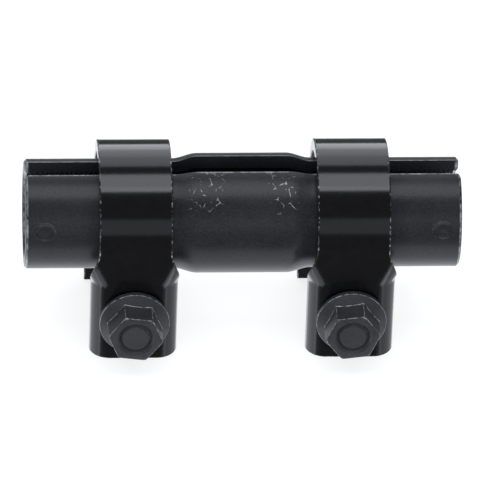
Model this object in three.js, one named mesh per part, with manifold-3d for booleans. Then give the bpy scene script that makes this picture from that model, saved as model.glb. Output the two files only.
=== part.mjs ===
// Split adjusting sleeve with two pinch clamps, in millimetres, +Z up.
// The sleeve lies along X. It is threaded inside at both ends, left-hand at -X and right-hand at +X,
// and split along its top, so that the clamps can pinch it onto two threaded rods.
// Each clamp is a U-shaped strap whose legs hang below the sleeve and are pulled together by a bolt
// and a flange nut. The assembly stands on the four leg ends. The origin is the centre of its
// footprint, on the surface it stands on, and the nuts are on the -Y side.
import * as THREE from "three";
import { mergeVertices } from "three/addons/utils/BufferGeometryUtils.js";
import Module from "manifold-3d";

const wasm = await Module();
wasm.setup();

// ---- Sleeve ----
const SLEEVE_LENGTH = 135.5;
const END_RADIUS = 17.1; // outside, where the ends are swaged down and threaded
const END_WALL = 4.4; // leaves a bore at the crests of a 27 x 1.5 thread
const MIDDLE_RADIUS = 18.7; // outside, where the tube keeps its first size
const MIDDLE_WALL = 4.3;
const MIDDLE_LENGTH = 28;
const SWAGE_LENGTH = 7.5; // each taper between the middle and an end
const END_CHAMFER = 0.7; // outside corner of each end
const THREAD_LEAD_IN = 1.2; // inside corner of each end
const END_SLOT = 7.2; // width of the split at the ends
const MIDDLE_SLOT = 8.8; // and in the middle, where swaging has not closed it
const SLOT_CORNER = 1.6; // rounding where the split runs out of the ends
const DIMPLE_RADIUS = 3.3;
const DIMPLE_DEPTH = 0.8;
const DIMPLE_INSET = 6; // from the end of the sleeve to the middle of the dimple
const DIMPLE_ANGLE = THREE.MathUtils.degToRad(76); // from the split, towards -Y

// ---- Clamp strap ----
const STRAP_THICKNESS = 4;
const STRAP_WIDTH = 22.6; // where it goes over the sleeve
const RING_CLEARANCE = 2; // between the sleeve's end and the open strap
const CLAMP_GAP = 1; // from the foot of the swage to the strap
const LEG_WIDTH = 27.4; // both legs; the front one is measured over its folded sides
const FOLD_RADIUS = 6.4; // outside radius of those folds
const LEG_SPLAY = THREE.MathUtils.degToRad(1); // each leg of the open clamp leans outwards
const FLARE_LENGTH = 12; // below the sleeve's axis, over which the strap widens into a leg
const FLARE_POWER = 1.5; // above 1, the widening is slow at first
const LEG_TAIL = 3.4; // from the rim of the nut's flange to the leg's end

// ---- Bolt and nut, M10 ----
const BOLT_RADIUS = 5;
const BOLT_GAP = 2.3; // between the sleeve and the bolt
const BOLT_HOLE_CLEARANCE = 0.5;
const BOLT_RECESS = 0.3; // bolt end short of the nut's outer face
const BOLT_CHAMFER = 0.9;
const HEX_FLATS = 15; // across the flats of nut and head
const HEX_HEIGHT = 10; // with its flange
const HEX_CHAMFER = 0.3; // from a flat to the edge of the round outer face
const HEX_CHAMFER_ANGLE = THREE.MathUtils.degToRad(30);
const FLANGE_RADIUS = 10.9;
const FLANGE_RIM = 1.6; // thickness of the flange at its rim
const FLANGE_RISE = 1.5; // rise of the flange's cone above its rim
const THREAD_CLEARANCE = 0.3; // between the plain bolt and the plain bore that stand for the thread
const NUT_COUNTERSINK = 0.8;
const SEAT_GAP = 0.3; // between a leg and the flange that bears on it
const NUT_TURN = THREE.MathUtils.degToRad(7); // the two nuts stopped turned this much, opposite ways

// ---- Fineness of the facets ----
const TUBE_SIDES = 56;
const SWAGE_STEPS = 4;
const DIMPLE_SIDES = 28;
const FOLD_STEPS = 4;
const RING_STEPS = 12; // over the sleeve, on each side of the top
const FLARE_STEPS = 7;
const FASTENER_SIDES = 36;
const CUT_PAST = 1; // how far a cutter runs past what it cuts

// ---- Worked out from the above ----
const ringInner = END_RADIUS + RING_CLEARANCE;
const ringMiddle = ringInner + STRAP_THICKNESS / 2;
const clampX = MIDDLE_LENGTH / 2 + SWAGE_LENGTH + CLAMP_GAP + STRAP_WIDTH / 2;
const boltDrop = END_RADIUS + BOLT_GAP + BOLT_RADIUS;
const legDrop = boltDrop + FLANGE_RADIUS + LEG_TAIL;
const axisHeight = legDrop;
const boltHeight = axisHeight - boltDrop;
const foldMiddle = FOLD_RADIUS - STRAP_THICKNESS / 2;
const legFlat = LEG_WIDTH / 2 - FOLD_RADIUS; // half width of the front leg's flat face
const legSpread = legFlat + (foldMiddle * Math.PI) / 2; // half width of the front leg laid flat

// Distance from the middle plane to a leg's outer face, at a depth below the sleeve's axis.
function legOuterFace(depth) {
  const bendY = ringMiddle * Math.cos(LEG_SPLAY);
  const bendDepth = -ringMiddle * Math.sin(LEG_SPLAY);
  return (
    bendY +
    (depth - bendDepth) * Math.tan(LEG_SPLAY) +
    STRAP_THICKNESS / 2 / Math.cos(LEG_SPLAY)
  );
}
// A flange's lowest point meets the leaning leg first.
const seatY = legOuterFace(boltDrop + FLANGE_RADIUS) + SEAT_GAP;

// ---- From three.js geometry to a solid and back ----
function solidFrom(geometry) {
  const bare = geometry.clone();
  bare.deleteAttribute("normal");
  bare.deleteAttribute("uv");
  const merged = mergeVertices(bare, 1e-4);
  return new wasm.Manifold(
    new wasm.Mesh({
      numProp: 3,
      vertProperties: new Float32Array(merged.attributes.position.array),
      triVerts: new Uint32Array(merged.index.array),
    }),
  );
}

function geometryFrom(solid) {
  const mesh = solid.getMesh();
  const geometry = new THREE.BufferGeometry();
  geometry.setAttribute("position", new THREE.BufferAttribute(mesh.vertProperties, 3));
  geometry.setIndex(new THREE.BufferAttribute(mesh.triVerts, 1));
  geometry.computeVertexNormals();
  return geometry;
}

// A closed profile of [radius, place along +X] turned about the X axis.
function turned(profile, segments) {
  const points = profile.map(([radius, along]) => new THREE.Vector2(radius, along));
  return new THREE.LatheGeometry(points, segments).rotateZ(-Math.PI / 2);
}

// The same, about the Y axis.
function turnedAlongY(profile, segments) {
  const points = profile.map(([radius, along]) => new THREE.Vector2(radius, along));
  return new THREE.LatheGeometry(points, segments);
}

// ---- Sleeve ----
// Share of the swage's change in size reached at x: 1 in the middle, 0 at the ends.
function swageShare(x) {
  const past = (Math.abs(x) - MIDDLE_LENGTH / 2) / SWAGE_LENGTH;
  return 1 - THREE.MathUtils.smoothstep(past, 0, 1);
}

function between(endValue, middleValue, x) {
  return THREE.MathUtils.lerp(endValue, middleValue, swageShare(x));
}

// Places along X where the sleeve's size changes, from -X to +X.
function swageStations() {
  const right = [];
  for (let i = 0; i <= SWAGE_STEPS; i++) {
    right.push(MIDDLE_LENGTH / 2 + (SWAGE_LENGTH * i) / SWAGE_STEPS);
  }
  return [...right.map((x) => -x).reverse(), ...right];
}

function sleeveTube() {
  const end = SLEEVE_LENGTH / 2;
  const bore = END_RADIUS - END_WALL;
  const middleBore = MIDDLE_RADIUS - MIDDLE_WALL;
  const outside = swageStations().map((x) => [between(END_RADIUS, MIDDLE_RADIUS, x), x]);
  const inside = swageStations().map((x) => [between(bore, middleBore, x), x]);
  const profile = [
    [END_RADIUS - END_CHAMFER, -end],
    [END_RADIUS, -end + END_CHAMFER],
    ...outside,
    [END_RADIUS, end - END_CHAMFER],
    [END_RADIUS - END_CHAMFER, end],
    [bore + THREAD_LEAD_IN, end],
    [bore, end - THREAD_LEAD_IN],
    ...inside.reverse(),
    [bore, -end + THREAD_LEAD_IN],
    [bore + THREAD_LEAD_IN, -end],
    [END_RADIUS - END_CHAMFER, -end],
  ];
  return turned(profile, TUBE_SIDES);
}

// The split's outline in plan: wider in the middle, with rounded mouths at the ends.
function slotCutter() {
  const end = SLEEVE_LENGTH / 2;
  const half = (x) => between(END_SLOT, MIDDLE_SLOT, x) / 2;
  const shape = new THREE.Shape();
  shape.moveTo(-end - CUT_PAST, -END_SLOT / 2 - SLOT_CORNER);
  shape.lineTo(-end, -END_SLOT / 2 - SLOT_CORNER);
  shape.absarc(-end + SLOT_CORNER, -END_SLOT / 2 - SLOT_CORNER, SLOT_CORNER, Math.PI, Math.PI / 2, true);
  swageStations().forEach((x) => shape.lineTo(x, -half(x)));
  shape.absarc(end - SLOT_CORNER, -END_SLOT / 2 - SLOT_CORNER, SLOT_CORNER, Math.PI / 2, 0, true);
  shape.lineTo(end + CUT_PAST, -END_SLOT / 2 - SLOT_CORNER);
  shape.lineTo(end + CUT_PAST, END_SLOT / 2 + SLOT_CORNER);
  shape.lineTo(end, END_SLOT / 2 + SLOT_CORNER);
  shape.absarc(end - SLOT_CORNER, END_SLOT / 2 + SLOT_CORNER, SLOT_CORNER, 0, -Math.PI / 2, true);
  swageStations()
    .reverse()
    .forEach((x) => shape.lineTo(x, half(x)));
  shape.absarc(-end + SLOT_CORNER, END_SLOT / 2 + SLOT_CORNER, SLOT_CORNER, -Math.PI / 2, -Math.PI, true);
  shape.lineTo(-end - CUT_PAST, END_SLOT / 2 + SLOT_CORNER);
  shape.closePath();
  return new THREE.ExtrudeGeometry(shape, {
    depth: MIDDLE_RADIUS + CUT_PAST,
    bevelEnabled: false,
    curveSegments: 6,
  });
}

// A punch ball that leaves a round dimple of the stated size in the sleeve's outside.
function dimpleCutter(side) {
  const ball = (DIMPLE_RADIUS ** 2 + DIMPLE_DEPTH ** 2) / (2 * DIMPLE_DEPTH);
  const reach = END_RADIUS - DIMPLE_DEPTH + ball;
  return new THREE.SphereGeometry(ball, DIMPLE_SIDES, DIMPLE_SIDES).translate(
    side * (SLEEVE_LENGTH / 2 - DIMPLE_INSET),
    -reach * Math.sin(DIMPLE_ANGLE),
    reach * Math.cos(DIMPLE_ANGLE),
  );
}

function sleeveGeometry() {
  const solid = solidFrom(sleeveTube())
    .subtract(solidFrom(slotCutter()))
    .subtract(solidFrom(dimpleCutter(-1)))
    .subtract(solidFrom(dimpleCutter(1)));
  return geometryFrom(solid);
}

// ---- Clamp strap ----
// One cross-section of the strap: points across it (x) and inwards (depth), outer face first.
// flat is the half width of its flat face, and spread the half width with its sides laid flat.
function strapSection(flat, spread) {
  const flatShare = legFlat / legSpread;
  const shares = [flatShare / 2];
  for (let i = 0; i <= FOLD_STEPS; i++) shares.push(flatShare + ((1 - flatShare) * i) / FOLD_STEPS);
  const across = [...shares.map((s) => -s).reverse(), 0, ...shares];
  const face = (offset) =>
    across.map((share) => {
      const run = Math.abs(share) * spread;
      const angle = Math.max(0, run - flat) / foldMiddle;
      const x = Math.min(run, flat) + (foldMiddle + offset) * Math.sin(angle);
      const depth = foldMiddle - (foldMiddle + offset) * Math.cos(angle);
      return [Math.sign(share) * x, depth];
    });
  return [...face(STRAP_THICKNESS / 2), ...face(-STRAP_THICKNESS / 2).reverse()];
}

// Stations along the strap's middle line, from the -Y leg's end over the sleeve to the +Y leg's end:
// a place and a direction in the Y-Z plane, from the sleeve's axis, and how far the strap has
// widened into a leg. The front leg, on the -Y side, has its sides folded in. The rear leg is flat.
function strapStations() {
  const arcEnd = Math.PI / 2 - LEG_SPLAY;
  const half = [];
  for (let i = 0; i <= RING_STEPS; i++) {
    const angle = (arcEnd * i) / RING_STEPS;
    half.push({
      y: ringMiddle * Math.sin(angle),
      z: ringMiddle * Math.cos(angle),
      dy: Math.cos(angle),
      dz: -Math.sin(angle),
      widened: 0,
    });
  }
  const bend = half[half.length - 1];
  const onLeg = (depth, widened) => ({
    y: bend.y + (bend.z + depth) * Math.tan(LEG_SPLAY),
    z: -depth,
    dy: Math.sin(LEG_SPLAY),
    dz: -Math.cos(LEG_SPLAY),
    widened,
  });
  for (let i = 0; i <= FLARE_STEPS; i++) {
    const share = i / FLARE_STEPS;
    half.push(onLeg(FLARE_LENGTH * share, share ** FLARE_POWER));
  }
  half.push(onLeg(boltDrop, 1));
  half.push({ ...onLeg(legDrop, 1), cutFlat: true });
  const sized = (s, flatEnd, spreadEnd) => ({
    ...s,
    flat: THREE.MathUtils.lerp(STRAP_WIDTH / 2, flatEnd, s.widened),
    spread: THREE.MathUtils.lerp(STRAP_WIDTH / 2, spreadEnd, s.widened),
  });
  const front = half
    .slice(1)
    .reverse()
    .map((s) => sized({ ...s, y: -s.y, dz: -s.dz }, legFlat, legSpread));
  const rear = half.map((s) => sized(s, LEG_WIDTH / 2, LEG_WIDTH / 2));
  return [...front, ...rear];
}

function strapGeometry() {
  const rings = strapStations().map((s) =>
    strapSection(s.flat, s.spread).map(([x, depth]) => {
      // Inwards is the direction of travel turned towards the sleeve.
      const y = s.y + depth * s.dz;
      const z = s.z - depth * s.dy;
      if (!s.cutFlat) return new THREE.Vector3(x, y, z);
      const slide = (-legDrop - z) / s.dz; // along the leg, to the flat end it stands on
      return new THREE.Vector3(x, y + s.dy * slide, -legDrop);
    }),
  );
  const count = rings[0].length;
  const positions = rings.flat().flatMap((p) => [p.x, p.y, p.z]);
  const index = [];
  for (let r = 0; r + 1 < rings.length; r++)
    for (let i = 0; i < count; i++) {
      const a = r * count + i;
      const b = r * count + ((i + 1) % count);
      index.push(a, b, a + count, b, b + count, a + count);
    }
  // Both end faces: strips between the outer and the inner face.
  const last = (rings.length - 1) * count;
  for (let i = 0; i < count / 2 - 1; i++) {
    const outer = [i, i + 1];
    const inner = [count - 1 - i, count - 2 - i];
    index.push(outer[0], inner[0], outer[1], outer[1], inner[0], inner[1]);
    index.push(last + outer[0], last + outer[1], last + inner[0]);
    index.push(last + outer[1], last + inner[1], last + inner[0]);
  }
  const geometry = new THREE.BufferGeometry();
  geometry.setAttribute("position", new THREE.Float32BufferAttribute(positions, 3));
  geometry.setIndex(index);
  return geometry;
}

function clampGeometry() {
  const hole = new THREE.CylinderGeometry(
    BOLT_RADIUS + BOLT_HOLE_CLEARANCE,
    BOLT_RADIUS + BOLT_HOLE_CLEARANCE,
    4 * ringMiddle,
    FASTENER_SIDES,
  ).translate(0, 0, -boltDrop);
  return geometryFrom(solidFrom(strapGeometry()).subtract(solidFrom(hole)));
}

// ---- Bolt and nut: both point along -Y, from the flange's bearing face at Y = 0 ----
// A hexagon with a conical flange, from its bearing face to its outer face at Y = -HEX_HEIGHT.
function flangedHex() {
  const corner = HEX_FLATS / Math.sqrt(3);
  const hexagon = new THREE.Shape();
  for (let i = 0; i < 6; i++) {
    const angle = (i * Math.PI) / 3;
    const go = i ? "lineTo" : "moveTo";
    hexagon[go](corner * Math.cos(angle), corner * Math.sin(angle));
  }
  const prism = new THREE.ExtrudeGeometry(hexagon, { depth: HEX_HEIGHT, bevelEnabled: false });
  prism.rotateX(Math.PI / 2);
  const face = HEX_FLATS / 2 - HEX_CHAMFER;
  const chamferDrop = (corner - face) * Math.tan(HEX_CHAMFER_ANGLE);
  const envelope = turnedAlongY(
    [
      [0, -HEX_HEIGHT],
      [face, -HEX_HEIGHT],
      [corner, -HEX_HEIGHT + chamferDrop],
      [corner, 0],
      [0, 0],
    ],
    FASTENER_SIDES,
  );
  const flange = turnedAlongY(
    [
      [0, -FLANGE_RIM - FLANGE_RISE],
      [HEX_FLATS / 2, -FLANGE_RIM - FLANGE_RISE],
      [FLANGE_RADIUS, -FLANGE_RIM],
      [FLANGE_RADIUS, 0],
      [0, 0],
    ],
    FASTENER_SIDES,
  );
  return geometryFrom(solidFrom(prism).intersect(solidFrom(envelope)).add(solidFrom(flange)));
}

function nutGeometry() {
  const bore = BOLT_RADIUS + THREAD_CLEARANCE;
  const cutter = turnedAlongY(
    [
      [0, -HEX_HEIGHT - CUT_PAST],
      [bore + NUT_COUNTERSINK + CUT_PAST, -HEX_HEIGHT - CUT_PAST],
      [bore, -HEX_HEIGHT + NUT_COUNTERSINK],
      [bore, -NUT_COUNTERSINK],
      [bore + NUT_COUNTERSINK + CUT_PAST, CUT_PAST],
      [0, CUT_PAST],
    ],
    FASTENER_SIDES,
  );
  return geometryFrom(solidFrom(flangedHex()).subtract(solidFrom(cutter)));
}

// The head's bearing face is at Y = 0 and faces -Y. The shank runs along -Y.
function boltGeometry() {
  const length = 2 * seatY + HEX_HEIGHT - BOLT_RECESS;
  const shank = turnedAlongY(
    [
      [0, -length],
      [BOLT_RADIUS - BOLT_CHAMFER, -length],
      [BOLT_RADIUS, -length + BOLT_CHAMFER],
      [BOLT_RADIUS, HEX_HEIGHT / 2],
      [0, HEX_HEIGHT / 2],
    ],
    FASTENER_SIDES,
  );
  const head = solidFrom(flangedHex().rotateX(Math.PI));
  return geometryFrom(head.add(solidFrom(shank)));
}

// ---- Materials ----
function finish(color, roughness, metalness) {
  return new THREE.MeshStandardMaterial({ color, roughness, metalness });
}
const phosphatedSteel = finish(0x3c3d40, 0.55, 0.6);
const glossEnamel = finish(0x141415, 0.12, 0.2);
const oxidisedSteel = finish(0x343438, 0.42, 0.7);

// ---- Assembly ----
function piece(name, geometry, material) {
  const mesh = new THREE.Mesh(geometry, material);
  mesh.name = name;
  return mesh;
}

const coupling = new THREE.Group();
const onAxis = new THREE.Group();
onAxis.position.z = axisHeight;
coupling.add(onAxis);
onAxis.add(piece("sleeve", sleeveGeometry(), phosphatedSteel));

for (const [side, sign] of [
  ["left", -1],
  ["right", 1],
]) {
  const clamp = new THREE.Group();
  clamp.position.x = sign * clampX;
  clamp.add(piece(`${side}_clamp`, clampGeometry(), glossEnamel));
  const bolt = piece(`${side}_bolt`, boltGeometry(), oxidisedSteel);
  bolt.position.set(0, seatY, boltHeight - axisHeight);
  const nut = piece(`${side}_nut`, nutGeometry(), oxidisedSteel);
  nut.position.set(0, -seatY, boltHeight - axisHeight);
  nut.rotation.y = -sign * NUT_TURN;
  clamp.add(bolt, nut);
  onAxis.add(clamp);
}

export default coupling;
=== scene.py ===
import math

import bpy
from mathutils import Matrix, Vector


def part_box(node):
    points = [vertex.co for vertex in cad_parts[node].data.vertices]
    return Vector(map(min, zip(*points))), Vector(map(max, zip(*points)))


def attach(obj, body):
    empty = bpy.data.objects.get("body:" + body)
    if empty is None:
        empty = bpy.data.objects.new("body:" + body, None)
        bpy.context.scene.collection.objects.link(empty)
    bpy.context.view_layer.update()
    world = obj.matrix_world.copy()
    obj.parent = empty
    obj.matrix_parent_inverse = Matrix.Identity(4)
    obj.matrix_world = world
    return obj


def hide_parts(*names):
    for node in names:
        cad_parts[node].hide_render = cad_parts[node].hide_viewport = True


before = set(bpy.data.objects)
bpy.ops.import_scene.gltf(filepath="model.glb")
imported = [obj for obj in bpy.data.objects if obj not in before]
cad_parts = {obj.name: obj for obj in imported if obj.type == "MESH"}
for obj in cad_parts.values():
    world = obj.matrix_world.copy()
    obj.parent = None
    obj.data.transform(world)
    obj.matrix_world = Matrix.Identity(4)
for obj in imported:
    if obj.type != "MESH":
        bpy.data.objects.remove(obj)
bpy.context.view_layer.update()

bl_info = {
    "name": "Split adjusting sleeve",
    "version": (1, 0, 0),
    "blender": (4, 5, 0),
    "location": "3D View > Sidebar > Sleeve",
    "description": "Models a split threaded sleeve with two bolted pinch clamps",
    "category": "Object",
}

MM = 0.001
SIDES = {"left": -1, "right": 1}

# The sleeve's top is split, so its axis is found from its lowest point and its width.
_SLEEVE_LOW, _SLEEVE_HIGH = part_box("sleeve")
MIDDLE_RADIUS = (_SLEEVE_HIGH.y - _SLEEVE_LOW.y) / 2
AXIS_HEIGHT = _SLEEVE_LOW.z + MIDDLE_RADIUS
SLEEVE_END = _SLEEVE_HIGH.x


# ---- Sizes and colours a user would change ----
def length(name, millimetres, description):
    return bpy.props.FloatProperty(
        name=name,
        description=description,
        default=millimetres * MM,
        unit="LENGTH",
        subtype="DISTANCE",
        precision=4,
    )


def tint(name, description, default):
    return bpy.props.StringProperty(name=name, description=description, default=default)


class SleeveSizes(bpy.types.PropertyGroup):
    end_radius: length("End radius", 17.1, "Outside radius of the swaged ends")
    end_bore: length("End bore", 12.7, "Radius at the thread's crests")
    middle_bore: length("Middle bore", 14.4, "Inside radius of the middle")
    middle_length: length("Middle length", 28, "Length that keeps the full diameter")
    swage_length: length("Swage length", 7.5, "Length of each taper")
    end_slot: length("Split at the ends", 7.2, "Width of the split at the ends")
    middle_slot: length("Split in the middle", 8.8, "Width of the split in the middle")
    slot_corner: length("Split corner", 1.6, "Rounding where the split runs out")
    end_chamfer: length("End chamfer", 0.7, "Outside chamfer of the ends")
    lead_in: length("Thread lead-in", 1.2, "Inside chamfer of the ends")
    edge_round: length("Edge rounding", 0.3, "Rounding of the sheared edges")
    thread_pitch: length("Thread pitch", 1.5, "Pitch of the sleeve's threads")
    thread_depth: length("Thread depth", 0.8, "Depth of the sleeve's threads")
    dimple_radius: length("Dimple radius", 3.3, "Radius of a punched dimple")
    dimple_depth: length("Dimple depth", 1.3, "Depth of a punched dimple")
    dimple_inset: length("Dimple inset", 6, "Dimple's distance from the end")
    dimple_angle: bpy.props.FloatProperty(
        name="Dimple angle",
        description="Angle from the split to a dimple",
        default=math.radians(76),
        unit="ROTATION",
        subtype="ANGLE",
    )


class ClampSizes(bpy.types.PropertyGroup):
    thickness: length("Thickness", 4, "Thickness of the strap")
    width: length("Width", 22.6, "Width of the strap over the sleeve")
    leg_width: length("Leg width", 27.4, "Width of a leg")
    fold_radius: length("Fold radius", 6.4, "Outside radius of the front leg's folds")
    flare_length: length("Flare length", 12, "Drop over which the strap widens")
    hole_radius: length("Hole radius", 5.5, "Radius of the bolt holes")
    edge_round: length("Edge rounding", 0.4, "Rounding of the strap's edges")
    splay: bpy.props.FloatProperty(
        name="Splay",
        description="Outward lean of each leg",
        default=math.radians(1),
        unit="ROTATION",
        subtype="ANGLE",
    )


class FastenerSizes(bpy.types.PropertyGroup):
    flats: length("Across flats", 15, "Hexagon across its flats")
    height: length("Height", 10, "Height of nut or head with its flange")
    flange_radius: length("Flange radius", 10.9, "Radius of the flange")
    flange_rim: length("Flange rim", 1.6, "Thickness of the flange's rim")
    flange_rise: length("Flange rise", 1.5, "Rise of the flange's cone")
    crest_radius: length("Crest radius", 4.95, "Radius at the bolt thread's crests")
    root_radius: length("Root radius", 4.15, "Radius at the bolt thread's roots")
    pitch: length("Pitch", 1.5, "Pitch of the bolt's thread")
    thread_play: length("Thread play", 0.09, "Radial play of nut on bolt")
    thread_length: length("Thread length", 30, "Threaded length of the bolt")
    countersink: length("Countersink", 0.8, "Countersink of the nut's bore")
    edge_round: length("Edge rounding", 0.16, "Rounding of the forged edges")
    turn: bpy.props.FloatProperty(
        name="Nut turn",
        description="How far each nut stopped from square",
        default=math.radians(7),
        unit="ROTATION",
        subtype="ANGLE",
    )


class Finishes(bpy.types.PropertyGroup):
    phosphate: tint("Phosphate", "Sleeve's phosphated steel", "#151618")
    phosphate_rubbed: tint("Rubbed phosphate", "Where it is rubbed", "#27282B")
    enamel: tint("Enamel", "Clamps' black enamel", "#050506")
    oxide: tint("Oxide", "Nuts' and bolts' black oxide", "#1C1D1F")
    oxide_rubbed: tint("Rubbed oxide", "Where it is rubbed", "#313235")
    # Pale colour of the bevelled edges: partly rubbed-off coating, partly a painted edge highlight.
    worn_edge_and_highlight: tint("Worn edge", "Edges worn through to steel", "#A2A4A8")
    # Pale colour of the sleeve's scratches and of its painted highlights along the split and round
    # the ends.
    scuff_and_highlight: tint("Scuff", "Scuffs on the sleeve", "#9A9C9F")
    floor: tint("Floor", "Floor", "#F4F4F4")


class StageSettings(bpy.types.PropertyGroup):
    azimuth: bpy.props.FloatProperty(
        name="Azimuth",
        description="Camera's direction round the object",
        default=math.radians(-4.4),
        unit="ROTATION",
        subtype="ANGLE",
    )
    elevation: bpy.props.FloatProperty(
        name="Elevation",
        description="Camera's height above the horizon",
        default=math.radians(34),
        unit="ROTATION",
        subtype="ANGLE",
    )
    roll: bpy.props.FloatProperty(
        name="Roll",
        description="Camera's roll",
        default=math.radians(2.15),
        unit="ROTATION",
        subtype="ANGLE",
    )
    distance: length("Distance", 2500, "Camera's distance")
    aim_drop: length("Aim drop", 8.6, "How far below the sleeve the camera aims")
    frame_width: length("Frame width", 149.7, "Width seen at the sleeve")


# ---- Modelling helpers ----
def deselect():
    if bpy.context.object and bpy.context.object.mode != "OBJECT":
        bpy.ops.object.mode_set(mode="OBJECT")
    bpy.ops.object.select_all(action="DESELECT")


def make_active(piece):
    deselect()
    piece.select_set(True)
    bpy.context.view_layer.objects.active = piece
    return piece


def named(name):
    piece = bpy.context.object
    piece.name = name
    piece.data.name = name
    return piece


def settle(piece):
    """Puts the piece's place and turn into its mesh."""
    make_active(piece)
    bpy.ops.object.transform_apply(location=True, rotation=True, scale=True)
    return piece


# Edges that turn by more than this are rounded.
SHEARED_TURN, STRAP_TURN, FORGED_TURN = (math.radians(turn) for turn in (32, 50, 28))
# Vertices nearer than this are one.
MERGE = 0.002 * MM
# Slivers shorter than this would spoil a bevel.
SLIVER = 0.12 * MM


def clean(piece, merge=MERGE):
    make_active(piece)
    bpy.ops.object.mode_set(mode="EDIT")
    bpy.ops.mesh.select_all(action="SELECT")
    bpy.ops.mesh.remove_doubles(threshold=merge)
    bpy.ops.mesh.normals_make_consistent(inside=False)
    bpy.ops.object.mode_set(mode="OBJECT")
    return piece


def modify(piece, kind, **settings):
    """Adds one modifier and applies it."""
    make_active(piece)
    modifier = piece.modifiers.new(kind.title(), kind)
    for key, value in settings.items():
        setattr(modifier, key, value)
    bpy.ops.object.modifier_apply(modifier=modifier.name)
    return piece


def join_solid(piece, tool, operation):
    """Cuts the tool from the piece, joins it on or keeps what they share; the tool is used up."""
    modify(piece, "BOOLEAN", object=tool, operation=operation, solver="EXACT")
    mesh = tool.data
    bpy.data.objects.remove(tool)
    bpy.data.meshes.remove(mesh)
    return piece


def trace(name, points):
    """One vertex extruded from point to point."""
    deselect()
    bpy.ops.mesh.primitive_plane_add(size=MM, location=(0, 0, 0))
    piece = named(name)
    bpy.ops.object.mode_set(mode="EDIT")
    bpy.ops.mesh.select_all(action="SELECT")
    bpy.ops.mesh.merge(type="CENTER")
    at = Vector(points[0])
    bpy.ops.transform.translate(value=at)
    for point in points[1:]:
        step = Vector(point) - at
        bpy.ops.mesh.extrude_region_move(TRANSFORM_OT_translate={"value": step})
        at = Vector(point)
    bpy.ops.object.mode_set(mode="OBJECT")
    return piece


def place(along, radius, direction):
    """A point at a radius from an axis that runs along X or Y."""
    return (along, 0, radius) if direction == "X" else (0, along, radius)


def spun(name, profile, direction, steps=96):
    """A profile of (place along the axis, radius) turned about an axis through the origin."""
    piece = trace(name, [place(along, radius, direction) for along, radius in profile])
    bpy.ops.object.mode_set(mode="EDIT")
    bpy.ops.mesh.select_all(action="SELECT")
    axis = (1, 0, 0) if direction == "X" else (0, 1, 0)
    bpy.ops.mesh.spin(steps=steps, angle=math.tau, center=(0, 0, 0), axis=axis)
    bpy.ops.object.mode_set(mode="OBJECT")
    return clean(piece)


def thread_height(turns):
    """How high a thread stands at a count of turns, from 0 at its root to 1 at its crest."""
    # More than a half, so that the wave is cut flat at its crests and roots.
    swing = 0.7
    return min(max(0.5 + swing * math.cos(math.tau * turns), 0), 1)


def threaded(name, crest, root, pitch, low, high, direction, left_hand=False, steps=64):
    """A solid threaded rod along X or Y through the origin, square at low and high."""
    rings_per_turn = 8
    rings = math.ceil((high - low) / pitch * rings_per_turn)
    wall = [(low + (high - low) * i / rings, root) for i in range(rings + 1)]
    rod = spun(name, [(low, 0), *wall, (high, 0)], direction, steps)
    for vertex in rod.data.vertices:
        x, y, z = vertex.co
        # Turning from the first to the second side is a right-hand turn about the axis.
        along, first, second = (x, y, z) if direction == "X" else (y, z, x)
        radius = math.hypot(first, second)
        at_end_centre = radius < root / 2
        if at_end_centre:
            continue
        turn = math.atan2(second, first) / math.tau
        height = thread_height(along / pitch + (turn if left_hand else -turn))
        grow = (root + (crest - root) * height) / radius
        vertex.co = (x, y * grow, z * grow) if direction == "X" else (x * grow, y, z * grow)
    return clean(rod)


def shade(piece, degrees=35):
    make_active(piece)
    bpy.ops.object.shade_smooth_by_angle(angle=math.radians(degrees))


def dress(piece, *finishes):
    """Gives a raw piece its finishes; its bevelled edges then take the second."""
    for finish in finishes:
        piece.data.materials.append(materials()[finish])


def finish_piece(piece, body, node):
    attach(piece, body)
    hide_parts(node)


def lift(piece, x=0, y=0, z=0):
    piece.location = (x, y, z)
    return settle(piece)


# ---- Material helpers ----
def linear(hex_colour):
    """An sRGB hex colour as linear red, green, blue and alpha."""
    parts = [int(hex_colour[i : i + 2], 16) / 255 for i in (1, 3, 5)]
    return [p / 12.92 if p <= 0.04045 else ((p + 0.055) / 1.055) ** 2.4 for p in parts] + [1]


def node(tree, kind, links=None, **settings):
    """Adds a node, with its settings, its input values and its links."""
    made = tree.nodes.new(kind)
    for key, value in settings.items():
        setattr(made, key, value)
    for socket, value in (links or {}).items():
        if isinstance(value, bpy.types.NodeSocket):
            tree.links.new(value, made.inputs[socket])
        else:
            made.inputs[socket].default_value = value
    return made


def ramp(tree, factor, low, high, low_at, high_at):
    made = node(tree, "ShaderNodeValToRGB", {"Fac": factor})
    for stop, at, colour in zip(made.color_ramp.elements, (low_at, high_at), (low, high)):
        stop.position, stop.color = at, colour
    return made.outputs["Color"]


def blank(name):
    """A material with an empty Principled shader, and its Object coordinates in metres."""
    material = bpy.data.materials.new(name)
    material.use_nodes = True
    tree = material.node_tree
    where = node(tree, "ShaderNodeTexCoord").outputs["Object"]
    return material, tree, tree.nodes["Principled BSDF"], where


def noise(tree, where, size_mm, detail, output="Fac"):
    """Noise whose blotches are about size_mm across."""
    links = {"Vector": where, "Scale": 1 / (size_mm * MM), "Detail": detail}
    return node(tree, "ShaderNodeTexNoise", links).outputs[output]


def bump(tree, height, distance, strength=1.0, under=None):
    links = {"Height": height, "Distance": distance, "Strength": strength}
    if under is not None:
        links["Normal"] = under
    return node(tree, "ShaderNodeBump", links).outputs["Normal"]


def shared(tree, masks):
    """1 where every mask shows; each is (value, where it starts to show, where it shows fully)."""
    stroke = 1.0
    for value, clear, full in masks:
        shown = node(
            tree, "ShaderNodeMapRange", {"Value": value, "From Min": clear, "From Max": full}
        ).outputs["Result"]
        stroke = node(
            tree, "ShaderNodeMath", {0: stroke, 1: shown}, operation="MULTIPLY"
        ).outputs[0]
    return stroke


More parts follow.
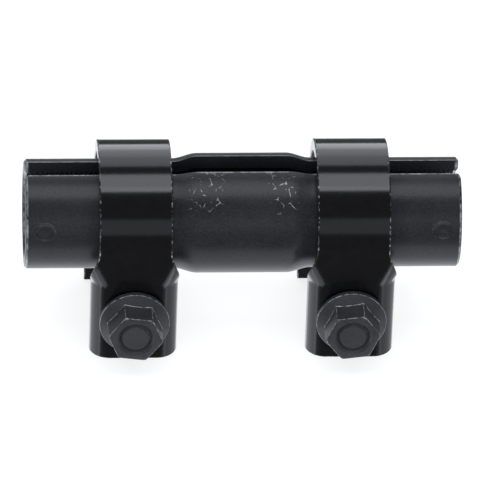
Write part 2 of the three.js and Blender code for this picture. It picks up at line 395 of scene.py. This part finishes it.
def scuffs_and_highlights(tree, where, under):
    """Thin pale scratches where the middle was gripped, and painted highlights: pale lines just
    outside the split and round each end's chamfer.
    """
    sizes = bpy.context.scene.sleeve_sizes
    wander = noise(tree, where, 5, 2.0, output="Color")
    stray = 1.5 * MM
    bent = node(
        tree,
        "ShaderNodeVectorMath",
        {0: wander, 1: (stray, stray, stray), 2: where},
        operation="MULTIPLY_ADD",
    ).outputs["Vector"]
    scratch_spacing = 3.4 * MM
    cells = node(
        tree,
        "ShaderNodeTexVoronoi",
        {"Vector": bent, "Scale": 1 / scratch_spacing},
        feature="DISTANCE_TO_EDGE",
    ).outputs["Distance"]
    broken = noise(tree, where, 1.7, 3.0)
    parts = node(tree, "ShaderNodeSeparateXYZ", {"Vector": where}).outputs
    off_middle = node(tree, "ShaderNodeMath", {0: parts["X"]}, operation="ABSOLUTE").outputs[0]
    off_split = node(tree, "ShaderNodeMath", {0: parts["Y"]}, operation="ABSOLUTE").outputs[0]
    # Thin lines between the cells, broken up, in a patch on each side of the middle.
    scratched = (
        (cells, 0.034, 0.012),
        (broken, 0.5, 0.66),
        (off_middle, 5.5 * MM, 8 * MM),
        (off_middle, 18 * MM, 15 * MM),
        (parts["Y"], -16.5 * MM, -14 * MM),
        (parts["Y"], -3 * MM, -4 * MM),
        (parts["Z"], AXIS_HEIGHT + 6 * MM, AXIS_HEIGHT + 9 * MM),
    )
    upper = (parts["Z"], AXIS_HEIGHT + 9 * MM, AXIS_HEIGHT + 10 * MM)
    # Broken noise that makes the painted highlight lines come and go.
    worn = (broken, 0.34, 0.8)

    def lip_highlight(slot, stretch):
        """The masks of a painted highlight: a thin pale line just outside one stretch of the split.
        """
        edge = slot / 2
        inner = (off_split, edge + 0.02 * MM, edge + 0.08 * MM)
        outer = (off_split, edge + 0.5 * MM, edge + 0.35 * MM)
        return worn, upper, stretch, inner, outer

    middle_end = sizes.middle_length / 2
    swage_end = middle_end + sizes.swage_length
    # A painted highlight: a pale line round each end's chamfer, left off the underside.
    end_chamfer_highlight = (
        worn,
        (off_middle, SLEEVE_END - 0.85 * MM, SLEEVE_END - 0.7 * MM),
        (off_middle, SLEEVE_END - 0.1 * MM, SLEEVE_END - 0.3 * MM),
        (parts["Z"], AXIS_HEIGHT - 14 * MM, AXIS_HEIGHT - 12 * MM),
    )
    end_lip_highlight = lip_highlight(sizes.end_slot, (off_middle, swage_end - MM, swage_end))
    middle_lip_highlight = lip_highlight(sizes.middle_slot, (off_middle, middle_end + MM, middle_end))
    stroke = 0.0
    for masks in (scratched, end_chamfer_highlight, end_lip_highlight, middle_lip_highlight):
        stroke = node(
            tree, "ShaderNodeMath", {0: stroke, 1: shared(tree, masks)}, operation="MAXIMUM"
        ).outputs[0]
    # One pale colour for the real scratches and the painted highlights.
    pale = linear(bpy.context.scene.sleeve_finishes.scuff_and_highlight)
    return node(
        tree, "ShaderNodeMix", {0: stroke, 6: under, 7: pale}, data_type="RGBA"
    ).outputs[2]


def worn_and_highlit_steel(name, coat, bare, clear, full):
    """An edge whose coating has rubbed off in places, partly a painted edge highlight: a thin,
    broken, pale line.
    """
    material, tree, shader, where = blank(name)
    rub = noise(tree, where, 1.2, 3.0)
    colour = ramp(tree, rub, linear(coat), linear(bare), clear, full)
    tree.links.new(colour, shader.inputs["Base Color"])
    shader.inputs["Metallic"].default_value = 0.3
    shader.inputs["Roughness"].default_value = 0.4
    return material


def phosphated_steel(name, base, rubbed, grain_mm, roughness, specular, with_scuffs_and_highlights=False):
    """Manganese phosphate on machined steel: matt dark crystals, paler where handling rubs it."""
    material, tree, shader, where = blank(name)
    crystals = noise(tree, where, grain_mm, 4.0)
    # Cloudy patches a centimetre across, from uneven phosphating.
    patches = noise(tree, where, 11, 3.0)
    weighed = node(
        tree, "ShaderNodeMix", {"Factor": 0.25, "A": crystals, "B": patches}, data_type="FLOAT"
    ).outputs["Result"]
    colour = ramp(tree, weighed, linear(base), linear(rubbed), 0.36, 0.66)
    # Adds the scratches and the painted highlights along the split and round the ends.
    if with_scuffs_and_highlights:
        colour = scuffs_and_highlights(tree, where, colour)
    tree.links.new(colour, shader.inputs["Base Color"])
    shine = node(
        tree,
        "ShaderNodeMapRange",
        {"Value": patches, "To Min": roughness - 0.05, "To Max": roughness + 0.05},
    ).outputs["Result"]
    tree.links.new(shine, shader.inputs["Roughness"])
    tree.links.new(bump(tree, crystals, 0.03 * MM, 0.4), shader.inputs["Normal"])
    shader.inputs["Specular IOR Level"].default_value = specular
    return material


def black_enamel(name, base):
    """Dipped black enamel: a deep gloss, with the slight orange peel of a thick coat."""
    material, tree, shader, where = blank(name)
    peel = noise(tree, where, 2.2, 1.0)
    dust = noise(tree, where, 0.5, 2.0)
    shine = node(
        tree, "ShaderNodeMapRange", {"Value": dust, "To Min": 0.08, "To Max": 0.2}
    ).outputs["Result"]
    colour = ramp(tree, peel, linear(base), linear("#08080A"), 0.35, 0.7)
    tree.links.new(colour, shader.inputs["Base Color"])
    tree.links.new(shine, shader.inputs["Roughness"])
    rough = bump(tree, dust, 0.006 * MM, 0.5, under=bump(tree, peel, 0.02 * MM, 0.12))
    tree.links.new(rough, shader.inputs["Normal"])
    shader.inputs["IOR"].default_value = 1.5
    return material


def materials():
    """Each finish once, made when it is first asked for."""
    hues = bpy.context.scene.sleeve_finishes
    made = bpy.data.materials
    if "phosphated_steel" not in made:
        phosphated_steel(
            "phosphated_steel", hues.phosphate, hues.phosphate_rubbed, 0.45, 0.3, 0.27, with_scuffs_and_highlights=True
        )
        worn_and_highlit_steel("worn_and_highlit_steel", hues.oxide, hues.worn_edge_and_highlight, 0.34, 0.8)
        worn_and_highlit_steel("worn_and_highlit_enamel", hues.enamel, hues.worn_edge_and_highlight, 0.5, 0.78)
        black_enamel("black_enamel", hues.enamel)
        phosphated_steel("oxidised_steel", hues.oxide, hues.oxide_rubbed, 0.3, 0.38, 0.4)
    return made


# ---- Sleeve ----
def swage_share(x, sizes):
    """1 in the middle of the sleeve and 0 at its ends, with an eased taper between."""
    past = (abs(x) - sizes.middle_length / 2) / sizes.swage_length
    past = min(max(past, 0), 1)
    return 1 - past * past * (3 - 2 * past)


def swage_stations(sizes, steps=10):
    right = [sizes.middle_length / 2 + sizes.swage_length * i / steps for i in range(steps + 1)]
    return [-x for x in reversed(right)] + right


def sleeve_tube(sizes):
    end, bore = SLEEVE_END, sizes.end_bore

    def between(at_end, at_middle, x):
        return at_end + (at_middle - at_end) * swage_share(x, sizes)

    stations = swage_stations(sizes)
    outside = [(x, between(sizes.end_radius, MIDDLE_RADIUS, x)) for x in stations]
    inside = [(x, between(bore, sizes.middle_bore, x)) for x in reversed(stations)]
    profile = [
        (-end, sizes.end_radius - sizes.end_chamfer),
        (-end + sizes.end_chamfer, sizes.end_radius),
        *outside,
        (end - sizes.end_chamfer, sizes.end_radius),
        (end, sizes.end_radius - sizes.end_chamfer),
        (end, bore + sizes.lead_in),
        (end - sizes.lead_in, bore),
        *inside,
        (-end + sizes.lead_in, bore),
        (-end, bore + sizes.lead_in),
        (-end, sizes.end_radius - sizes.end_chamfer),
    ]
    return spun("adjusting_sleeve", profile, "X", steps=160)


def slot_outline(sizes):
    """One long side of the split in plan, with its rounded mouths, from -X to +X."""
    end, past, corner = SLEEVE_END, 2 * MM, sizes.slot_corner
    steps = 8
    mouth = []
    for i in range(steps + 1):
        angle = math.pi / 2 * i / steps
        x = end - corner + corner * math.sin(angle)
        mouth.append((x, sizes.end_slot / 2 + corner * (1 - math.cos(angle))))
    mouth.append((end + past, sizes.end_slot / 2 + corner))
    middle = [
        (x, (sizes.end_slot + (sizes.middle_slot - sizes.end_slot) * swage_share(x, sizes)) / 2)
        for x in swage_stations(sizes)
    ]
    return [(-x, y) for x, y in reversed(mouth)] + middle + mouth


def slot_cutter(sizes):
    side = slot_outline(sizes)
    loop = [(x, -y, 0) for x, y in side] + [(x, y, 0) for x, y in reversed(side)]
    cutter = trace("split_cutter", loop + [loop[0]])
    clean(cutter)
    bpy.ops.object.mode_set(mode="EDIT")
    bpy.ops.mesh.select_all(action="SELECT")
    bpy.ops.mesh.edge_face_add()
    up = (0, 0, MIDDLE_RADIUS + 2 * MM)
    bpy.ops.mesh.extrude_region_move(TRANSFORM_OT_translate={"value": up})
    bpy.ops.object.mode_set(mode="OBJECT")
    return clean(cutter)


def dimple_cutter(sizes, sign):
    depth, radius = sizes.dimple_depth, sizes.dimple_radius
    ball = (radius**2 + depth**2) / (2 * depth)
    reach = sizes.end_radius - depth + ball
    deselect()
    bpy.ops.mesh.primitive_uv_sphere_add(
        segments=96,
        ring_count=64,
        radius=ball,
        location=(
            sign * (SLEEVE_END - sizes.dimple_inset),
            -reach * math.sin(sizes.dimple_angle),
            reach * math.cos(sizes.dimple_angle),
        ),
    )
    return settle(named("dimple_cutter"))


class SLEEVE_OT_sleeve(bpy.types.Operator):
    """Models the split sleeve with its swages, dimples and threads"""

    bl_idname = "sleeve.sleeve"
    bl_label = "Sleeve"

    def execute(self, context):
        sizes = context.scene.sleeve_sizes
        sleeve = sleeve_tube(sizes)
        join_solid(sleeve, slot_cutter(sizes), "DIFFERENCE")
        for sign in SIDES.values():
            join_solid(sleeve, dimple_cutter(sizes, sign), "DIFFERENCE")
        clean(sleeve)
        # The bevels take the pale edge line: wear and painted highlight.
        dress(sleeve, "phosphated_steel", "worn_and_highlit_steel")
        modify(
            sleeve,
            "BEVEL",
            width=sizes.edge_round,
            segments=3,
            material=1,
            limit_method="ANGLE",
            angle_limit=SHEARED_TURN,
        )
        run_out = sizes.middle_length / 2 + sizes.swage_length
        # The tap's roots stay just inside the bore, so that they cut nothing.
        tap_play = 0.05 * MM
        for sign in SIDES.values():
            ends = sorted((sign * run_out, sign * (SLEEVE_END + MM)))
            tap = threaded(
                "thread_tap",
                sizes.end_bore + sizes.thread_depth,
                sizes.end_bore - tap_play,
                sizes.thread_pitch,
                *ends,
                "X",
                left_hand=sign < 0,
                steps=96,
            )
            join_solid(sleeve, tap, "DIFFERENCE")
        clean(sleeve)
        bpy.ops.object.mode_set(mode="EDIT")
        bpy.ops.mesh.select_all(action="DESELECT")
        bpy.ops.mesh.select_non_manifold()
        bpy.ops.mesh.fill_holes(sides=0)
        bpy.ops.object.mode_set(mode="OBJECT")
        lift(sleeve, z=AXIS_HEIGHT)
        shade(sleeve)
        finish_piece(sleeve, "sleeve_body", "sleeve")
        return {"FINISHED"}


# ---- Clamps ----
def strap_path(sizes, outer, leg_drop):
    """Half the strap's middle line, from its top down the +Y leg.

    Each station is (y, z, along y, along z, how far the strap has widened into a leg).
    """
    middle = outer - sizes.thickness / 2
    splay = sizes.splay
    ring_steps, leg_steps = 36, 44
    path = []
    for i in range(ring_steps):
        angle = (math.pi / 2 - splay) * i / ring_steps
        sine, cosine = math.sin(angle), math.cos(angle)
        path.append((middle * sine, middle * cosine, cosine, -sine, 0))
    bend_y, bend_z = middle * math.cos(splay), middle * math.sin(splay)
    for i in range(leg_steps + 1):
        drop = (bend_z + leg_drop) * i / leg_steps
        z = bend_z - drop
        share = min(max(-z / sizes.flare_length, 0), 1)
        path.append(
            (bend_y + drop * math.tan(splay), z, math.sin(splay), -math.cos(splay), share**1.5)
        )
    return path


def strap_point(sizes, across, station, folded):
    """Where a point of the flat blank's middle plane ends up; across runs from -1 to 1."""
    y, z, along_y, along_z, widened = station
    if not folded:
        width = sizes.width + (sizes.leg_width - sizes.width) * widened
        return Vector((across * width / 2, y, z))
    fold = sizes.fold_radius - sizes.thickness / 2
    leg_flat = sizes.leg_width / 2 - sizes.fold_radius
    leg_spread = leg_flat + fold * math.pi / 2
    flat = sizes.width / 2 + (leg_flat - sizes.width / 2) * widened
    spread = sizes.width / 2 + (leg_spread - sizes.width / 2) * widened
    run = abs(across) * spread
    angle = max(0, run - flat) / fold
    x = math.copysign(min(run, flat) + fold * math.sin(angle), across)
    inward = fold * (1 - math.cos(angle))
    return Vector((x, y + inward * along_z, z - inward * along_y))


def bent_strap(name, sizes, outer, leg_drop):
    """A flat blank bent round the sleeve, with the -Y leg's sides folded in, then thickened."""
    # The blank runs a little past the legs' ends, so that the level cut meets all of it.
    run_past = 0.5 * MM
    half = strap_path(sizes, outer, leg_drop + run_past)
    mirrored = [(-y, z, ay, -az, f) for y, z, ay, az, f in reversed(half[1:])]
    stations = mirrored + half
    columns = 32
    deselect()
    bpy.ops.mesh.primitive_grid_add(
        x_subdivisions=columns, y_subdivisions=len(stations) - 1, size=2
    )
    strap = named(name)
    for vertex in strap.data.vertices:
        row = round((vertex.co.y + 1) / 2 * (len(stations) - 1))
        vertex.co = strap_point(sizes, vertex.co.x, stations[row], folded=row < len(mirrored))
    modify(
        strap, "SOLIDIFY", thickness=sizes.thickness, offset=0, use_even_offset=True
    )
    clean(strap)
    # The legs are sheared off level.
    bpy.ops.object.mode_set(mode="EDIT")
    bpy.ops.mesh.select_all(action="SELECT")
    bpy.ops.mesh.bisect(
        plane_co=(0, 0, -leg_drop), plane_no=(0, 0, 1), use_fill=True, clear_inner=True
    )
    bpy.ops.object.mode_set(mode="OBJECT")
    return clean(strap)


class SLEEVE_OT_clamps(bpy.types.Operator):
    """Models the two pinch clamps"""

    bl_idname = "sleeve.clamps"
    bl_label = "Clamps"

    def execute(self, context):
        sizes = context.scene.sleeve_clamp_sizes
        for side in SIDES:
            low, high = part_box(f"{side}_clamp")
            bolt_low, bolt_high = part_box(f"{side}_bolt")
            leg_drop = AXIS_HEIGHT - low.z
            strap = bent_strap(f"{side}_pinch_clamp", sizes, high.z - AXIS_HEIGHT, leg_drop)
            deselect()
            bpy.ops.mesh.primitive_cylinder_add(
                vertices=72,
                radius=sizes.hole_radius,
                depth=2 * (high.y - low.y),
                location=(0, 0, (bolt_low.z + bolt_high.z) / 2 - AXIS_HEIGHT),
                rotation=(math.pi / 2, 0, 0),
            )
            join_solid(strap, settle(named("hole_drill")), "DIFFERENCE")
            clean(strap)
            # The bevels take the pale edge line: wear and painted highlight.
            dress(strap, "black_enamel", "worn_and_highlit_enamel")
            modify(
                strap,
                "BEVEL",
                width=sizes.edge_round,
                segments=4,
                material=1,
                limit_method="ANGLE",
                use_clamp_overlap=False,
                angle_limit=STRAP_TURN,
            )
            lift(strap, x=(low.x + high.x) / 2, z=AXIS_HEIGHT)
            shade(strap, degrees=40)
            finish_piece(
                strap,
                f"{side}_clamp_body",
                f"{side}_clamp",
            )
        return {"FINISHED"}


# ---- Nuts and bolts ----
def flanged_hexagon(name, sizes, turn=0):
    """A hexagon on its flange, from the bearing face at Y = 0 to the top at -Y."""
    corner = sizes.flats / math.sqrt(3)
    corner_cut = 0.5 * MM
    face = corner - corner_cut
    cut_slope = math.radians(30)
    drop = (corner - face) * math.tan(cut_slope)
    height = sizes.height
    deselect()
    bpy.ops.mesh.primitive_cylinder_add(
        vertices=6,
        radius=corner,
        depth=height,
        location=(0, -height / 2, 0),
        rotation=(math.pi / 2, 0, 0),
    )
    hexagon = settle(named(name))
    bpy.ops.object.mode_set(mode="EDIT")
    bpy.ops.mesh.select_all(action="SELECT")
    # A cylinder's first corner points along its own Y; a corner is wanted along X.
    bpy.ops.transform.rotate(
        value=math.pi / 6 + turn, orient_axis="Y", center_override=(0, 0, 0)
    )
    bpy.ops.object.mode_set(mode="OBJECT")
    dome = spun(
        "chamfer",
        [(-height, 0), (-height, face), (-height + drop, corner), (0, corner + MM), (0, 0)],
        "Y",
    )
    join_solid(hexagon, dome, "INTERSECT")
    rise = sizes.flange_rim + sizes.flange_rise
    flange = spun(
        "flange",
        [
            (-rise, 0),
            (-rise, sizes.flats / 2),
            (-sizes.flange_rim, sizes.flange_radius),
            (0, sizes.flange_radius),
            (0, 0),
        ],
        "Y",
    )
    join_solid(hexagon, flange, "UNION")
    clean(hexagon, merge=SLIVER)
    # The bevels take the pale edge line: wear and painted highlight.
    dress(hexagon, "oxidised_steel", "worn_and_highlit_steel")
    modify(
        hexagon,
        "BEVEL",
        material=1,
        width=sizes.edge_round,
        segments=3,
        limit_method="ANGLE",
        use_clamp_overlap=False,
        angle_limit=FORGED_TURN,
    )
    return hexagon


def bolt_axis(side):
    """Where a bolt's axis meets Y = 0, and the Y of its nut's and its head's bearing faces."""
    low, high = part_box(f"{side}_bolt")
    nut_low, nut_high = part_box(f"{side}_nut")
    height = nut_high.y - nut_low.y
    return (low.x + high.x) / 2, (low.z + high.z) / 2, nut_high.y, high.y - height, low.y


class SLEEVE_OT_nuts(bpy.types.Operator):
    """Models the two flanged nuts with their threads"""

    bl_idname = "sleeve.nuts"
    bl_label = "Nuts"

    def execute(self, context):
        sizes = context.scene.sleeve_fastener_sizes
        for side, sign in SIDES.items():
            x, z, nut_seat, _, _ = bolt_axis(side)
            nut = flanged_hexagon(f"{side}_flanged_nut", sizes, turn=sign * sizes.turn)
            lift(nut, y=nut_seat)
            wide = sizes.crest_radius + sizes.thread_play + sizes.countersink
            mouth = nut_seat - sizes.height
            cone = [(mouth - MM, 0), (mouth - MM, wide + MM), (mouth + wide, 0)]
            join_solid(nut, spun("countersink", cone, "Y"), "DIFFERENCE")
            tap = threaded(
                "nut_tap",
                sizes.crest_radius + sizes.thread_play,
                sizes.root_radius + sizes.thread_play,
                sizes.pitch,
                nut_seat - sizes.height - MM,
                nut_seat + MM,
                "Y",
            )
            join_solid(nut, tap, "DIFFERENCE")
            lift(nut, x=x, z=z)
            shade(nut, degrees=30)
            finish_piece(
                nut,
                f"{side}_nut_body",
                f"{side}_nut",
            )
        return {"FINISHED"}


class SLEEVE_OT_bolts(bpy.types.Operator):
    """Models the two flanged bolts with their rolled threads"""

    bl_idname = "sleeve.bolts"
    bl_label = "Bolts"

    def execute(self, context):
        sizes = context.scene.sleeve_fastener_sizes
        chamfer = 0.9 * MM
        shank_play, neck_play = 0.05 * MM, 0.1 * MM
        for side in SIDES:
            x, z, _, head_seat, end = bolt_axis(side)
            bolt = flanged_hexagon(f"{side}_flanged_bolt", sizes)
            bolt.rotation_euler = (math.pi, 0, 0)
            settle(bolt)
            lift(bolt, y=head_seat)
            thread = threaded(
                "rolled_thread",
                sizes.crest_radius,
                sizes.root_radius,
                sizes.pitch,
                end,
                end + sizes.thread_length,
                "Y",
            )
            tip = spun(
                "tip",
                [
                    (end, 0),
                    (end, sizes.crest_radius - chamfer),
                    (end + chamfer, sizes.crest_radius),
                    (end + chamfer, sizes.crest_radius + MM),
                    (end + sizes.thread_length + MM, sizes.crest_radius + MM),
                    (end + sizes.thread_length + MM, 0),
                ],
                "Y",
            )
            join_solid(thread, tip, "INTERSECT")
            plain = spun(
                "plain_shank",
                [
                    (end + sizes.thread_length - MM, 0),
                    (end + sizes.thread_length - MM, sizes.root_radius - neck_play),
                    (end + sizes.thread_length, sizes.crest_radius - shank_play),
                    (head_seat + MM, sizes.crest_radius - shank_play),
                    (head_seat + MM, 0),
                ],
                "Y",
            )
            join_solid(bolt, plain, "UNION")
            join_solid(bolt, thread, "UNION")
            lift(bolt, x=x, z=z)
            shade(bolt, degrees=30)
            finish_piece(
                bolt,
                f"{side}_bolt_body",
                f"{side}_bolt",
            )
        return {"FINISHED"}


# ---- Stage ----
# Every panel faces the sleeve from one metre away: its name, its bearing from the camera's side
# (degrees, towards the left), the heights over the horizon that it spans (degrees, past 90 behind
# the object), its width (metres) and its radiance. The low ones lie below the floor, which lets
# their light through, as a light table would.
PANELS = (
    ("rear_softbox_top", 0, 110.5, 131, 1.3, 1.65),
    ("rear_softbox_middle", 0, 131, 150, 1.3, 2.1),
    ("rear_softbox_foot", 0, 150, 167.5, 1.3, 3.1),
    ("top_softbox", 0, 73, 95.5, 1.3, 2.9),
    ("top_softbox_lip", 0, 66.5, 73, 1.3, 3.9),
    ("front_card", 0, -0.5, 23.5, 1.3, 0.5),
    ("low_middle_card", 0, -100, -42, 1.3, 1.2),
    ("low_rear_card", 180, -82, -16, 1.3, 1.2),
    ("low_left_fade", 48, -60, -8, 0.2, 0.2),
    ("low_left_rise", 59, -60, -8, 0.2, 0.55),
    ("low_left_card", 103, -60, -8, 1.5, 1.35),
    ("low_right_fade", -34, -60, -8, 0.2, 0.2),
    ("low_right_rise", -45, -60, -8, 0.2, 0.45),
    ("low_right_card", -90, -60, -8, 1.6, 0.85),
)
# A broad fill from the front that no gloss shows, as cross-polarised light would give.
FILL = ("front_fill", 0, -20, 62, 1.8, 1.5)
PANEL_DISTANCE = 1.0
PANEL_TINT = "#F3F8FF"
# The floor glows, and returns only this share of the light that falls on it, so shadows are faint.
FLOOR_GLOW, FLOOR_SHARE = 0.88, 0.3
AMBIENT = 0.15


def softbox(name, bearing, low, high, width, radiance):
    """A rectangular softbox that faces the sleeve."""
    degrees = (bearing, (low + high) / 2, (high - low) / 2)
    around, middle, half = (math.radians(angle) for angle in degrees)
    flat = math.cos(middle)
    away = Vector((-math.sin(around) * flat, -math.cos(around) * flat, math.sin(middle)))
    level = Vector((math.cos(around), -math.sin(around), 0))
    data = bpy.data.lights.new(name, "AREA")
    data.shape = "RECTANGLE"
    data.size, data.size_y = width, 2 * PANEL_DISTANCE * math.tan(half)
    data.energy = radiance * math.pi * data.size * data.size_y
    data.color = linear(PANEL_TINT)[:3]
    light = bpy.data.objects.new(name, data)
    bpy.context.scene.collection.objects.link(light)
    light.location = Vector((0, 0, AXIS_HEIGHT)) + away * PANEL_DISTANCE
    light.rotation_mode = "QUATERNION"
    facing = Matrix((level, away.cross(level), away)).transposed()
    light.rotation_quaternion = facing.to_quaternion()
    light.visible_camera = False
    return light


class SLEEVE_OT_stage(bpy.types.Operator):
    """Makes the floor, the lights and the camera"""

    bl_idname = "sleeve.stage"
    bl_label = "Stage"

    def execute(self, context):
        settings = context.scene.sleeve_stage
        matt, _, shader, _ = blank("studio_floor")
        pale = linear(context.scene.sleeve_finishes.floor)
        shader.inputs["Base Color"].default_value = [FLOOR_SHARE * part for part in pale[:3]] + [1]
        shader.inputs["Roughness"].default_value = 0.9
        shader.inputs["Emission Color"].default_value = pale
        shader.inputs["Emission Strength"].default_value = FLOOR_GLOW
        deselect()
        bpy.ops.mesh.primitive_plane_add(size=6, location=(0, 0, 0))
        floor = named("floor")
        floor.data.materials.append(matt)
        # The gloss shows the panels under the floor, not the floor.
        floor.visible_glossy = False
        floor.visible_shadow = False
        for panel in PANELS:
            softbox(*panel)
        softbox(*FILL).visible_glossy = False

        world = bpy.data.worlds.new("studio")
        context.scene.world = world
        world.use_nodes = True
        backdrop = world.node_tree.nodes["Background"]
        backdrop.inputs["Color"].default_value = (1, 1, 1, 1)
        backdrop.inputs["Strength"].default_value = AMBIENT
        context.scene.view_settings.view_transform = "Standard"

        data = bpy.data.cameras.new("camera")
        camera = bpy.data.objects.new("camera", data)
        context.scene.collection.objects.link(camera)
        a, e = settings.azimuth, settings.elevation
        back = Vector(
            (math.sin(a) * math.cos(e), -math.cos(a) * math.cos(e), math.sin(e))
        )
        turn = (-back).to_track_quat("-Z", "Y")
        up = turn @ Vector((0, 1, 0))
        aim = Vector((0, 0, AXIS_HEIGHT)) - up * settings.aim_drop
        camera.location = aim + back * settings.distance
        camera.rotation_mode = "QUATERNION"
        camera.rotation_quaternion = turn @ Matrix.Rotation(settings.roll, 3, "Z").to_quaternion()
        data.lens = data.sensor_width * settings.distance / settings.frame_width
        data.clip_end = 20
        context.scene.camera = camera
        return {"FINISHED"}


# ---- Add-on ----
STEPS = ("stage", "sleeve", "clamps", "bolts", "nuts")


class SLEEVE_PT_panel(bpy.types.Panel):
    """Lists the pieces and their sizes"""

    bl_idname = "SLEEVE_PT_panel"
    bl_label = "Split adjusting sleeve"
    bl_space_type = "VIEW_3D"
    bl_region_type = "UI"
    bl_category = "Sleeve"

    def draw(self, context):
        for step in STEPS:
            self.layout.operator(f"sleeve.{step}")
        for group in SETTINGS:
            settings = getattr(context.scene, group)
            for key in settings.bl_rna.properties.keys():
                if key not in ("rna_type", "name"):
                    self.layout.prop(settings, key)


SETTINGS = {
    "sleeve_sizes": SleeveSizes,
    "sleeve_clamp_sizes": ClampSizes,
    "sleeve_fastener_sizes": FastenerSizes,
    "sleeve_finishes": Finishes,
    "sleeve_stage": StageSettings,
}
CLASSES = (
    *SETTINGS.values(),
    SLEEVE_OT_stage,
    SLEEVE_OT_sleeve,
    SLEEVE_OT_clamps,
    SLEEVE_OT_bolts,
    SLEEVE_OT_nuts,
    SLEEVE_PT_panel,
)


def register():
    for made in CLASSES:
        bpy.utils.register_class(made)
    for name, group in SETTINGS.items():
        setattr(bpy.types.Scene, name, bpy.props.PointerProperty(type=group))


def unregister():
    for name in SETTINGS:
        delattr(bpy.types.Scene, name)
    for made in reversed(CLASSES):
        bpy.utils.unregister_class(made)


def main():
    register()
    for step in STEPS:
        getattr(bpy.ops.sleeve, step)()
    deselect()


if __name__ == "__main__":
    main()
